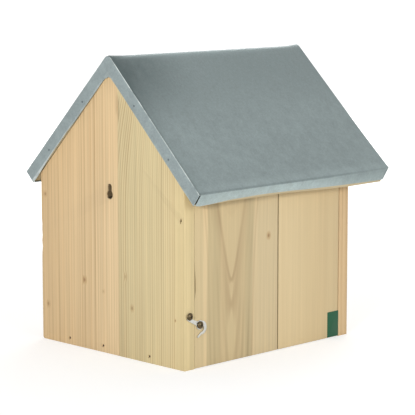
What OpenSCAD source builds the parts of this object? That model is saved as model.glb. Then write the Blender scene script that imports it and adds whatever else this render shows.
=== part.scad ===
// Squirrel house of plain boards, with a folded sheet-metal roof and a side
// door that swings out on two nails and is held by a small hook.
// Millimetres, +Z up. The origin is the middle of the base. The entrance
// faces -Y, the door is on the -X side and the keyhole is in the +Y panel.

/* [House] */
// Width over the door and the fixed wall
body_w = 248; // [200:1:300]
// Depth over the front and back panels
body_d = 280; // [220:1:340]
// Height of the front and back panels at their peak
peak_h = 330.4; // [280:0.2:380]
// Slope of the roof in degrees
pitch = 45; // [42:1:48]

/* [Boards] */
// Thickness of the boards of the walls, door and floor
board_t = 16; // [12:0.5:20]
// Distance from a panel's middle to the joint between its two boards
joint_off = 14.5; // [5:0.5:22]
// Open joint between two boards of one panel
joint_gap = 0.6; // [0.3:0.1:1.5]
// Space between the top of the fixed wall and the roof boards
wall_top_gap = 0.4; // [0.2:0.1:2]

/* [Roof] */
// Thickness of the roof boards
roof_t = 16; // [12:0.5:20]
// Width of the upper roof board, down the slope from the ridge line
upper_run = 138.5; // [125:0.5:145]
// How far the folded eave stands out from the walls
eave_over = 26; // [20:0.5:40]
// How far the roof boards stand out in front of the front panel
front_over = 45.4; // [25:0.2:60]
// How far the roof boards stand out behind the back panel
back_over = 1.2; // [0.6:0.2:6]
// Thickness of the roof sheet
sheet_t = 0.6; // [0.5:0.1:1.2]
// Depth of the sheet's folded skirts
skirt_d = 14.6; // [12:0.2:18]
// Outer radius of the sheet's bend over the ridge
ridge_r = 5; // [3:0.2:10]
// Open slit at each corner, between an eave skirt and a gable skirt
corner_slit = 1.4; // [0.5:0.1:3]

/* [Door] */
// Height of the pivot nails above the base
pivot_z = 171; // [160:0.5:180]
// Space between the door and the front and back panels, at each end
door_side_gap = 0.5; // [0.4:0.1:2]
// Space under the door
door_bottom_gap = 0.5; // [0.4:0.1:3]
// Space between the top of the door and the roof boards
door_top_gap = 2.4; // [1.5:0.1:8]
// Space between the door's inner face and the floor
floor_gap = 0.5; // [0.4:0.1:2]
// Thickness of the battens inside the door
batten_t = 12; // [8:0.5:18]
// Width of the battens
batten_w = 22; // [16:1:30]
// Space between a batten's end and the door's end
batten_inset = 6; // [4:0.5:20]
// Height of the lower batten's middle above the base
low_batten_z = 45; // [40:1:60]
// Height of the upper batten's middle above the base
high_batten_z = 136; // [110:1:140]

/* [Openings] */
// Diameter of the round entrance
entrance_d = 70; // [60:1:80]
// Height of the entrance's middle above the base
entrance_z = 185; // [170:1:200]
// Diameter of the keyhole's round part
keyhole_d = 10; // [8:0.5:12]
// Width of the keyhole's slot
keyslot_w = 6; // [4:0.5:6.5]
// Height of the middle of the keyhole's round part
keyhole_z = 189.5; // [170:0.5:220]
// Rise from the middle of the round part to the top of the slot
keyslot_rise = 12.5; // [9:0.5:16]

/* [Latch] */
// Distance from the back face to the stud screw
stud_inset = 6.6; // [5:0.1:9]
// Height of the stud screw above the base
stud_z = 62.3; // [50:0.1:90]
// Distance from the stud screw to the hook's screw, towards the front
hook_back = 16.5; // [14:0.5:22]
// How far the hook's screw lies below the stud screw
hook_drop = 11.8; // [9:0.1:15]
// Thickness of the hook
hook_t = 1.2; // [0.8:0.1:2]
// Width of the hook's arm and tail at its eye
hook_bar = 5.4; // [4:0.1:6]
// Width of the hook's jaw and tail at their tips
hook_tip = 2.4; // [1.6:0.1:3]
// Radius of the hook's eye
hook_eye_r = 5.4; // [4.6:0.1:6]
// Radius of the tail's curl, at the middle of the bar
hook_curl_r = 6; // [5:0.1:7]
// Space between the stud's shank and the hook's jaw under it
mouth_gap = 0.7; // [0.4:0.1:1.5]
// Space between the hook and the faces on both sides of it
hook_air = 0.4; // [0.3:0.1:1]

/* [Screws and nails] */
// Diameter of a screw's head
screw_head_d = 8; // [7:0.1:9]
// Height of a screw's domed head
screw_head_h = 2.6; // [2:0.1:3.5]
// Diameter of a screw's shank
screw_d = 3.5; // [3:0.1:4]
// Depth that the screws reach into the wood
screw_depth = 14; // [10:0.5:15]
// Diameter of a brad
brad_d = 1.8; // [1.4:0.1:2.4]
// Length of a brad
brad_len = 40; // [30:1:45]
// Diameter of a brad's head
brad_head_d = 2.8; // [2.4:0.1:4]
// Diameter of a pivot nail
pivot_d = 2.6; // [2:0.1:3.5]
// Length of a pivot nail
pivot_len = 50; // [40:1:60]
// Diameter of a pivot nail's head
pivot_head_d = 4; // [3.6:0.1:6]
// Running clearance round the pivot nails and the hook's screw
run_gap = 0.08; // [0.03:0.01:0.1]
// Diameter of a roof sheet nail's flat head
flat_head_d = 3.4; // [3:0.1:6]
// Length of a roof sheet nail
flat_len = 16; // [12:1:25]
// Length of a nail through a batten into the door
batten_nail_len = 24; // [20:0.5:26]
// Thickness of every nail's head
nail_head_t = 0.8; // [0.5:0.1:1.2]

/* [Label] */
// Width of the plain label
label_w = 20; // [15:0.5:25]
// Height of the plain label
label_h = 31.5; // [25:0.5:40]
// Thickness of the plain label
label_t = 0.2; // [0.1:0.05:0.4]

/* [Hidden] */
$fn = 48;

// Colours
pine = [0.87, 0.77, 0.60];
pale_pine = [0.89, 0.79, 0.64];
zinc = [0.53, 0.58, 0.58];
bright_steel = [0.74, 0.75, 0.75];
dull_steel = [0.45, 0.44, 0.42];
label_green = [0.10, 0.37, 0.25];

// Faces of the house
half_w = body_w / 2;
half_d = body_d / 2;
in_w = half_w - board_t;
in_d = half_d - board_t;
mid_w = half_w - board_t / 2;
mid_d = half_d - board_t / 2;
shoulder_z = under_roof(half_w);

// The two board edges at a joint
joint_hi = -joint_off + joint_gap / 2;
joint_lo = -joint_off - joint_gap / 2;

// Lines where the upper faces of the roof boards and of the sheet meet
board_ridge_z = peak_h + roof_t / cos(pitch);
sheet_ridge_z = board_ridge_z + sheet_t / cos(pitch);
// Distances down the slope from the boards' ridge line
fold_run = (half_w + eave_over) / cos(pitch) - sheet_t * tan(pitch);
board_run = fold_run - sheet_t;
// Ends of the roof boards
roof_back = half_d + back_over;
roof_front = -half_d - front_over;

// Door
door_half = in_d - door_side_gap;
door_top = shoulder_z - door_top_gap;
batten_x = -in_w + batten_t;
// Length of a pivot bore, with room at the nail's point
pivot_reach = pivot_len - board_t - door_side_gap + 2;

// Nails: heights and places along the panels
floor_nail_z = board_t / 2;
back_floor_nails = [74, 13, -66];
wall_nail_heights = [44.5, 179];
side_floor_nails = [55, -70];
roof_nail_runs = [60, 118, 178];
wall_sheet_nails = [73, 160];
door_sheet_nails = [72, 152];
sheet_nail_below = 9.4;
batten_nail_places = [98, 24, -40, -98];

// Latch
stud_y = half_d - stud_inset;
hook_y = stud_y - hook_back;
hook_z = stud_z - hook_drop;
reach = sqrt(hook_back * hook_back + hook_drop * hook_drop);
rise = atan2(hook_drop, hook_back);
hook_face = half_w + hook_air;
head_face = hook_face + hook_t + hook_air;
hook_bore_r = screw_d / 2 + run_gap;
lip_turn = 280;
mouth_r = screw_d / 2 + mouth_gap;
curl_middle = [-hook_curl_r * 0.4, -hook_curl_r * 0.66];
tail_tip = curl_middle + [5.2, -hook_curl_r - 3.4];

// Screw heads: radius of the dome, and the cross recess
dome_r = screw_head_d * 0.65;
recess_l = 4.6;
recess_w = 0.9;
recess_depth = 1.3;

// Height of the roof boards' lower face at a distance from the middle
function under_roof(x) = peak_h - abs(x) * tan(pitch);

// Fasteners: head at the top, its upper face at the origin, shank down -Z
module nail(d, len, head_d) {
  translate([0, 0, -len]) cylinder(h = len, d = d);
  translate([0, 0, -nail_head_t]) cylinder(h = nail_head_t, d = head_d);
}

module brad() {
  nail(brad_d, brad_len, brad_head_d);
}

// The underside of the head is at the origin
module screw(shank) {
  difference() {
    union() {
      intersection() {
        cylinder(h = screw_head_h, d = screw_head_d);
        translate([0, 0, screw_head_h - dome_r]) sphere(r = dome_r);
      }
      translate([0, 0, -shank]) cylinder(h = shank + 0.5, d = screw_d);
    }
    for (turn = [0, 90])
      rotate([0, 0, turn])
        translate([-recess_l / 2, -recess_w / 2, screw_head_h - recess_depth])
          cube([recess_l, recess_w, recess_depth + 1]);
  }
}

// Turns the fasteners' +Z axis to face out of a side of the house
module facing_back() rotate([-90, 0, 0]) children();
module facing_front() rotate([90, 0, 0]) children();
module facing_wall_side() rotate([0, 90, 0]) children();
module facing_door_side() rotate([0, -90, 0]) children();

// Frame on a roof slope: +X runs down the slope from the boards' ridge line,
// +Z points out of the roof. side is 1 over the wall and -1 over the door.
module on_slope(side) {
  translate([0, 0, board_ridge_z])
    mirror([side < 0 ? 1 : 0, 0, 0])
      rotate([0, pitch, 0]) children();
}

// Space below two slopes that meet at ridge_z, with the ridge rounded
module below_slopes(ridge_z, r, half) {
  start = r * sin(pitch);
  foot = ridge_z - half * tan(pitch);
  drop = half * tan(pitch);
  top = ridge_z - start * tan(pitch);
  polygon([
    [-start, top], [-half, foot], [-half, foot - drop],
    [half, foot - drop], [half, foot], [start, top]
  ]);
  translate([0, ridge_z - r / cos(pitch)]) circle(r = r, $fn = 96);
}

// Front or back panel between two places across its width
module gable_board(x0, x1, outer_y) {
  peak = x0 < 0 && x1 > 0 ? [[0, peak_h]] : [];
  translate([0, outer_y, 0])
    rotate([90, 0, 0])
      linear_extrude(board_t)
        polygon(concat([[x0, 0], [x1, 0], [x1, under_roof(x1)]], peak, [[x0, under_roof(x0)]]));
}

// Back panel
module back_board_wide() {
  color(pine)
    difference() {
      gable_board(joint_hi, half_w, half_d);
      keyhole();
      back_panel_nails();
      roof_board_nails();
    }
}

module back_board_narrow() {
  color(pine)
    difference() {
      gable_board(-half_w, joint_lo, half_d);
      back_panel_nails();
      roof_board_nails();
      pivot_nail_back();
      stud_screw();
    }
}

module keyhole() {
  slot_top = keyhole_z + keyslot_rise - keyslot_w / 2;
  translate([0, half_d + 1, 0])
    rotate([90, 0, 0])
      linear_extrude(board_t + 2) {
        translate([0, keyhole_z]) circle(d = keyhole_d);
        translate([0, slot_top]) circle(d = keyslot_w);
        translate([-keyslot_w / 2, keyhole_z]) square([keyslot_w, slot_top - keyhole_z]);
      }
}

// Front panel
module front_board_wide() {
  color(pine)
    difference() {
      gable_board(joint_hi, half_w, -in_d);
      entrance();
      front_panel_nails();
      roof_board_nails();
    }
}

module front_board_narrow() {
  color(pine)
    difference() {
      gable_board(-half_w, joint_lo, -in_d);
      entrance();
      front_panel_nails();
      roof_board_nails();
      pivot_nail_front();
    }
}

module entrance() {
  translate([0, -in_d + 1, entrance_z])
    rotate([90, 0, 0]) cylinder(h = board_t + 2, d = entrance_d, $fn = 96);
}

// Fixed side wall
module wall_board(y0, y1) {
  color(pale_pine)
    difference() {
      translate([in_w, y0, 0]) cube([board_t, y1 - y0, shoulder_z - wall_top_gap]);
      back_panel_nails();
      front_panel_nails();
      wall_nails();
    }
}

module wall_board_rear() {
  wall_board(joint_hi, in_d);
}

module wall_board_front() {
  wall_board(-in_d, joint_lo);
}

// Floor
module floor_board(y0, y1) {
  left = -in_w + floor_gap;
  color(pale_pine)
    difference() {
      translate([left, y0, 0]) cube([in_w - left, y1 - y0, board_t]);
      back_panel_nails();
      front_panel_nails();
      wall_nails();
    }
}

module floor_board_rear() {
  floor_board(joint_hi, in_d);
}

module floor_board_front() {
  floor_board(-in_d, joint_lo);
}

// Door
module door_board(y0, y1) {
  color(pale_pine)
    difference() {
      translate([-half_w, y0, door_bottom_gap]) cube([board_t, y1 - y0, door_top - door_bottom_gap]);
      door_batten_nails();
      translate([-mid_w, door_half + 1, pivot_z]) pivot_bore();
      translate([-mid_w, pivot_reach - door_half, pivot_z]) pivot_bore();
      hook_screw();
    }
}

module pivot_bore() {
  facing_back()
    translate([0, 0, -pivot_reach - 1]) cylinder(h = pivot_reach + 1, r = pivot_d / 2 + run_gap);
}

module door_board_rear() {
  door_board(joint_hi, door_half);
}

module door_board_front() {
  door_board(-door_half, joint_lo);
}

module door_batten(mid_z) {
  half = door_half - batten_inset;
  color(pine)
    difference() {
      translate([-in_w, -half, mid_z - batten_w / 2]) cube([batten_t, 2 * half, batten_w]);
      door_batten_nails();
    }
}

module door_batten_lower() {
  door_batten(low_batten_z);
}

module door_batten_upper() {
  door_batten(high_batten_z);
}

// Roof boards. The upper board over the wall laps the one over the door.
module roof_board(side, from, to) {
  color(pine)
    difference() {
      on_slope(side)
        translate([from, roof_front, -roof_t]) cube([to - from, roof_back - roof_front, roof_t]);
      roof_board_nails();
      roof_sheet_nails();
    }
}

module roof_board_upper_wall_side() {
  intersection() {
    roof_board(1, -roof_t, upper_run - joint_gap / 2);
    roof_space();
  }
}

module roof_board_lower_wall_side() {
  roof_board(1, upper_run + joint_gap / 2, board_run);
}

module roof_board_upper_door_side() {
  difference() {
    roof_board(-1, 0, upper_run - joint_gap / 2);
    on_slope(1)
      translate([-2 * roof_t, roof_front - 1, -roof_t])
        cube([4 * roof_t, roof_back - roof_front + 2, 2 * roof_t]);
  }
}

module roof_board_lower_door_side() {
  roof_board(-1, upper_run + joint_gap / 2, board_run);
}

// Space under the sheet, over the full length of the boards
module roof_space() {
  translate([0, roof_back, 0])
    rotate([90, 0, 0])
      linear_extrude(roof_back - roof_front)
        below_slopes(board_ridge_z, ridge_r - sheet_t, half_w + eave_over);
}

// Folded roof sheet
module roof_sheet() {
  color(zinc)
    difference() {
      union() {
        translate([0, roof_back + sheet_t, 0])
          rotate([90, 0, 0])
            linear_extrude(roof_back - roof_front + 2 * sheet_t) sheet_section();
        for (side = [-1, 1]) on_slope(side) eave_skirt();
        translate([0, roof_back + sheet_t, 0]) gable_skirt();
        translate([0, roof_front, 0]) gable_skirt();
      }
      roof_sheet_nails();
    }
}

// The two slopes with the bend between them, as far as the eave folds
module sheet_section() {
  intersection() {
    difference() {
      below_slopes(sheet_ridge_z, ridge_r, half_w + eave_over + 1);
      below_slopes(board_ridge_z, ridge_r - sheet_t, half_w + eave_over + 2);
    }
    inside_folds();
  }
}

// Everything between the two eave folds
module inside_folds() {
  deep = 2 * roof_t;
  for (side = [-1, 1])
    intersection() {
      translate([side < 0 ? -body_w : 0, 0]) square([body_w, 2 * peak_h]);
      translate([0, board_ridge_z])
        mirror([side < 0 ? 1 : 0, 0])
          rotate(-pitch) translate([-body_w, -body_w]) square([body_w + fold_run, body_w + deep]);
    }
}

module eave_skirt() {
  length = roof_back - roof_front - 2 * corner_slit;
  translate([board_run, roof_front + corner_slit, sheet_t - skirt_d])
    cube([sheet_t, length, skirt_d]);
}

module gable_skirt() {
  drop = skirt_d / cos(pitch);
  rotate([90, 0, 0])
    linear_extrude(sheet_t)
      intersection() {
        difference() {
          below_slopes(sheet_ridge_z, ridge_r, half_w + eave_over + 1);
          below_slopes(sheet_ridge_z - drop, 1, half_w + eave_over + 2);
        }
        inside_folds();
      }
}

// Nails of the back and front panels: into the floor and the fixed wall
module back_panel_nails() {
  color(dull_steel) {
    for (x = back_floor_nails) translate([x, half_d, floor_nail_z]) facing_back() brad();
    for (z = wall_nail_heights) translate([mid_w, half_d, z]) facing_back() brad();
  }
}

module front_panel_nails() {
  color(dull_steel) {
    for (x = back_floor_nails) translate([x, -half_d, floor_nail_z]) facing_front() brad();
    for (z = wall_nail_heights) translate([mid_w, -half_d, z]) facing_front() brad();
  }
}

module wall_nails() {
  color(dull_steel)
    for (y = side_floor_nails) translate([half_w, y, floor_nail_z]) facing_wall_side() brad();
}

// Roof board nails go into the front and back panels
module roof_board_nails() {
  color(dull_steel)
    for (side = [-1, 1], run = roof_nail_runs, y = [-mid_d, mid_d])
      on_slope(side) translate([run, y, 0]) brad();
}

// Sheet nails go through the gable skirts into the ends of the roof boards
module roof_sheet_nails() {
  out = sheet_t + nail_head_t;
  color(dull_steel)
    for (side = [-1, 1], run = side > 0 ? wall_sheet_nails : door_sheet_nails)
      on_slope(side) {
        translate([run, roof_back + out, -sheet_nail_below]) facing_back() flat_nail();
        translate([run, roof_front - out, -sheet_nail_below]) facing_front() flat_nail();
      }
}

module flat_nail() {
  nail(brad_d, flat_len, flat_head_d);
}

module door_batten_nails() {
  color(dull_steel)
    for (y = batten_nail_places, z = [low_batten_z, high_batten_z])
      translate([batten_x, y, z]) facing_wall_side() nail(brad_d, batten_nail_len, brad_head_d);
}

// Pivot nails
module pivot_nail_back() {
  color(dull_steel)
    translate([-mid_w, half_d, pivot_z]) facing_back() nail(pivot_d, pivot_len, pivot_head_d);
}

module pivot_nail_front() {
  color(dull_steel)
    translate([-mid_w, -half_d, pivot_z]) facing_front() nail(pivot_d, pivot_len, pivot_head_d);
}

// Latch
module latch_hook() {
  color(bright_steel)
    translate([-hook_face - hook_t, hook_y, hook_z])
      rotate([90, 0, 90]) linear_extrude(hook_t) hook_outline();
}

// Points on an arc round a middle, from one angle to another
function arc(middle, r, from, to, steps) =
  [for (i = [0:steps]) let (a = from + (to - from) * i / steps) middle + r * [cos(a), sin(a)]];

// Direction of a path at its point i
function heading(path, i) =
  let (d = path[min(i + 1, len(path) - 1)] - path[max(i - 1, 0)]) atan2(d[1], d[0]);

// Side step of a path at its point i, for a bar whose half width goes from r0 to r1
function side_step(path, i, r0, r1) =
  let (a = heading(path, i), r = r0 + (r1 - r0) * i / (len(path) - 1)) r * [sin(a), -cos(a)];

// Outline of a round-ended bar that tapers along a path
function bar_outline(path, r0, r1) =
  let (last = len(path) - 1, out = heading(path, last), back = heading(path, 0))
    concat(
      [for (i = [0:last - 1]) path[i] + side_step(path, i, r0, r1)],
      arc(path[last], r1, out - 90, out + 90, 10),
      [for (i = [last - 1:-1:1]) path[i] - side_step(path, i, r0, r1)],
      arc(path[0], r0, back + 90, back + 270, 10)
    );

// Flat outline of the hook, with its screw at the origin and +X to the back
module hook_outline() {
  jaw = arc([reach, 0], mouth_r + hook_tip / 2, 240, lip_turn, 6);
  arm = concat([for (i = [0:9]) jaw[0] * i / 10], jaw);
  tail = concat([tail_tip], arc(curl_middle, hook_curl_r, 275, 110, 16));
  difference() {
    union() {
      circle(r = hook_eye_r);
      rotate(rise) polygon(bar_outline(arm, hook_bar / 2, hook_tip / 2));
      polygon(bar_outline(tail, hook_tip / 2, hook_bar / 2));
    }
    circle(r = hook_bore_r);
  }
}

module hook_screw() {
  color(bright_steel)
    translate([-head_face, hook_y, hook_z]) facing_door_side() screw(head_face - half_w + screw_depth);
}

module stud_screw() {
  color(bright_steel)
    translate([-head_face, stud_y, stud_z]) facing_door_side() screw(head_face - half_w + screw_depth);
}

// Plain label, low on the door at its front edge
module door_label() {
  color(label_green)
    translate([-half_w - label_t, -door_half, door_bottom_gap + 0.4]) cube([label_t, label_w, label_h]);
}

back_board_wide();
back_board_narrow();
front_board_wide();
front_board_narrow();
wall_board_rear();
wall_board_front();
floor_board_rear();
floor_board_front();
door_board_rear();
door_board_front();
door_batten_lower();
door_batten_upper();
roof_board_upper_wall_side();
roof_board_lower_wall_side();
roof_board_upper_door_side();
roof_board_lower_door_side();
roof_sheet();
back_panel_nails();
front_panel_nails();
wall_nails();
roof_board_nails();
roof_sheet_nails();
door_batten_nails();
pivot_nail_back();
pivot_nail_front();
latch_hook();
hook_screw();
stud_screw();
door_label();
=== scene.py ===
import math

import bmesh
import bpy
from mathutils import Matrix, Vector


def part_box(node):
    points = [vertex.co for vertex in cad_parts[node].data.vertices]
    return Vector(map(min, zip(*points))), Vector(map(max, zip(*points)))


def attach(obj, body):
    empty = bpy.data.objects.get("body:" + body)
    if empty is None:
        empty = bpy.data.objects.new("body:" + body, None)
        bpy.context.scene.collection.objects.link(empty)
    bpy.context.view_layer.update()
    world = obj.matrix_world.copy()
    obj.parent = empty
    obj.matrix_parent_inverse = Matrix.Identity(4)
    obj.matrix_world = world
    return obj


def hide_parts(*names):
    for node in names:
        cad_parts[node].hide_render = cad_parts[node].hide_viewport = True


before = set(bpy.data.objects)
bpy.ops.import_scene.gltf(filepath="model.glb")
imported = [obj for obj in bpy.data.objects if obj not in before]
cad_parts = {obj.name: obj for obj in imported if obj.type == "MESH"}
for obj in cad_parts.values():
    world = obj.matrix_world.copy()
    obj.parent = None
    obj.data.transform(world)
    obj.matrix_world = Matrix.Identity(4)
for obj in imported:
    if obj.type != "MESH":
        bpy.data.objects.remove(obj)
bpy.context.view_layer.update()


# Camera, lights and floor

viewpoint = {
    "from": (-1.5317, 1.51038, 0.47479), "to": (-0.03073, 0.01014, 0.16404), "lens": 154.753,
    "sensor": 36, "nearest": 0.05,
}
lamps = {  # place, size in metres, watts, warmth of the light
    "key": ((-1.35, 2.45, 0.75), 0.3, 30.0, (1.0, 0.99, 0.97)),
    "second": ((-0.5, 2.6, 1.7), 1.2, 5.0, (1.0, 1.0, 1.0)),
    "fill": ((-2.7, 0.3, 1.0), 1.4, 20.0, (1.0, 1.0, 1.0)),
    "top": ((0.4, -0.8, 2.6), 2.0, 12.0, (0.97, 0.99, 1.0)),
    "front": ((1.5, -2.3, 1.1), 1.6, 30.0, (1.0, 1.0, 1.0)),  # for the sides that the photo doesn't show
}
lampTarget = (0, 0, 0.17)
studio = {
    "ambient": 0.44, "floorSize": 80.0, "nearGlow": 0.53, "farGlow": 0.9,
    "glowReach": (0.35, 1.6),  # distances at which the glow begins and stops to grow
    "floorPaint": 0.6, "bouncePaint": 0.78,  # as seen, and as it lights the house from below
}


def aimed(name, data, place, target):  # a camera or lamp that looks from its place at a target
    thing = bpy.data.objects.new(name, data)
    bpy.context.scene.collection.objects.link(thing)
    thing.location = place
    thing.rotation_euler = (Vector(target) - Vector(place)).to_track_quat("-Z", "Y").to_euler()
    return thing


def placeCamera(view):
    lens = bpy.data.cameras.new("camera")
    lens.sensor_width, lens.lens, lens.clip_start = view["sensor"], view["lens"], view["nearest"]
    bpy.context.scene.camera = aimed("camera", lens, view["from"], view["to"])


def hangLamps(places):
    for name, (place, size, watts, colour) in places.items():
        light = bpy.data.lights.new(name, "AREA")
        light.shape, light.size = "DISK", size
        light.energy, light.color = watts, colour
        aimed(name, light, place, lampTarget)


# Shader maths: a socket that adds, multiplies and so on by adding nodes


def operator(operation, turned=False):
    def work(self, other=0.0):
        return self.math(operation, other, self) if turned else self.math(operation, self, other)

    return work


class Sock:
    def __init__(self, tree, socket=None):
        self.tree = tree
        self.socket = socket

    def add(self, kind, values=None, settings=None, out=0):
        node = self.tree.nodes.new(kind)
        for name, setting in (settings or {}).items():
            setattr(node, name, setting)
        for name, value in (values or {}).items():
            if isinstance(value, Sock):
                self.tree.links.new(value.socket, node.inputs[name])
            else:
                node.inputs[name].default_value = value
        return None if out is None else Sock(self.tree, node.outputs[out])

    def math(self, operation, first, second):
        return self.add("ShaderNodeMath", {0: first, 1: second}, {"operation": operation})

    __add__, __radd__ = operator("ADD"), operator("ADD", True)
    __sub__, __rsub__ = operator("SUBTRACT"), operator("SUBTRACT", True)
    __mul__, __rmul__ = operator("MULTIPLY"), operator("MULTIPLY", True)
    __truediv__, __pow__ = operator("DIVIDE"), operator("POWER")
    root, floor, size = operator("SQRT"), operator("FLOOR"), operator("ABSOLUTE")
    atLeast, atMost = operator("MAXIMUM"), operator("MINIMUM")

    def rise(self, low, high):  # 0 at low, 1 at high, smooth between
        values = {"Value": self, "From Min": low, "From Max": high}
        return self.add("ShaderNodeMapRange", values, {"interpolation_type": "SMOOTHSTEP"})

    def fall(self, low, high):
        return 1 - self.rise(low, high)

    def within(self, low, high, soft):  # 1 between low and high, soft at both
        return self.rise(low - soft, low + soft) * self.fall(high - soft, high + soft)

    def noise(self, scale=1.0, detail=2.0, rough=0.5):  # of a vector, about -0.5 to 0.5
        values = {"Vector": self, "Scale": scale, "Detail": detail, "Roughness": rough}
        return self.add("ShaderNodeTexNoise", values) - 0.5

    def dice(self):  # one random number for each whole number
        return self.add("ShaderNodeTexWhiteNoise", {"W": self}, {"noise_dimensions": "1D"})

    def spot(self):  # object coordinates
        return self.add("ShaderNodeTexCoord", out=3)

    def facing(self):  # the way that the surface faces
        return self.add("ShaderNodeTexCoord", out=1)

    def split(self):
        return [self.add("ShaderNodeSeparateXYZ", {0: self}, out=axis) for axis in range(3)]

    def join(self, first, second, third):
        return self.add("ShaderNodeCombineXYZ", {0: first, 1: second, 2: third})

    def fade(self, first, second):  # from one colour to another by this mask
        return self.add("ShaderNodeMix", {0: self, 6: first, 7: second}, {"data_type": "RGBA"}, 2)

    def tinted(self, colour, amount):  # this colour times another one
        settings = {"data_type": "RGBA", "blend_type": "MULTIPLY"}
        return self.add("ShaderNodeMix", {0: amount, 6: self, 7: colour}, settings, 2)

    def dimmed(self, factor):  # this colour times a number
        return self.add("ShaderNodeVectorMath", {0: self, "Scale": factor}, {"operation": "SCALE"})


def tone(red, green, blue):  # a colour as a paint program shows it, 0 to 255
    def linear(level):
        part = level / 255
        return part / 12.92 if part <= 0.04045 else ((part + 0.055) / 1.055) ** 2.4

    return (linear(red), linear(green), linear(blue), 1.0)


def newMaterial(name):
    material = bpy.data.materials.new(name)
    material.use_nodes = True
    tree = material.node_tree
    tree.nodes.clear()
    return material, Sock(tree)


def surface(start, values, height, depth):
    # the shader, with a bump from height
    bump = start.add("ShaderNodeBump", {"Height": height, "Distance": depth, "Strength": 1.0})
    shader = start.add("ShaderNodeBsdfPrincipled", dict(values, Normal=bump))
    start.add("ShaderNodeOutputMaterial", {"Surface": shader}, out=None)


# Pine: year rings round a pith line, cut by the board's faces

pineDefaults = {
    "pale": (224, 203, 158), "late": (182, 148, 104),  # the two parts of a year ring
    "pith": (0.2, -0.05), "taper": 0.0,  # middle of the rings across and through, cone along
    "ringWidth": 0.0032, "uneven": 0.7, "sway": 0.0012,
    "lines": 0.6, "sharpness": 3.0,  # how dark and how thin the late wood is
    "crowds": (),  # from, to across the board, and how many rings more
    "bolder": (),  # from, to across the board, and how much darker the late wood is there
    "bands": (),  # single broad rings: radius, half width, strength
    "bend": None,  # height, strength, place and width of a lean in the rings
    "flare": None,  # height above which the rings open faster, and how much
    "zones": (),  # darker wood: left, soft, right, soft, lean, strength
    "warm": (0.0, 1.0, 0.0),  # from, to across, strength of a warmer tone
    "warmTop": 0.0,  # and towards the top
    "knots": (),  # across, along, radius, darkness
    "streaks": (),  # brown marks: across, half width, from, to along, strength
    "foot": 0.0,  # how much darker the wood gets towards its lower end
    "hollow": None,  # across, along, reach of painted shade inside a hole, and the place of its face through the board
    "sideLines": 1.0,  # how much of the ring lines shows on a panel's narrow sides
    "joints": 0.0,  # how much darker the edges are that face a joint, as painted shade in the gap
    "flecks": 0.35, "texture": 1.0, "ends": 0.16, "seed": 0.0,
}
pineFinish = {
    "roughness": 0.62, "warmTint": (1.0, 0.95, 0.88, 1.0), "heartTint": (0.75, 0.78, 0.77, 1.0),
    "knotCore": (138, 100, 62), "knotRim": (186, 146, 98), "footHeight": 0.16,
    "fibre": 0.10, "fine": 0.34, "streak": 0.30, "cloud": 0.14, "pore": 0.25,
    "bandEase": 0.0012 / 0.056,  # softens the middle of a broad ring
    # painted shade on the panels' sloping tops and on the sides of the keyhole
    "slopeShade": 0.75, "holeShade": 0.62, "bump": 0.0002,
}
pineNoise = {  # scales across and along the grain, detail and roughness
    "fibre": (900, 14, 3.0, 0.6), "fine": (330, 5, 2.0, 0.6), "streak": (240, 3.5, 2.0, 0.55),
    "cloud": (16, 5), "pore": (1500, 70, 1.0), "slow": (9, 4), "gather": (20, 6),
}


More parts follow.
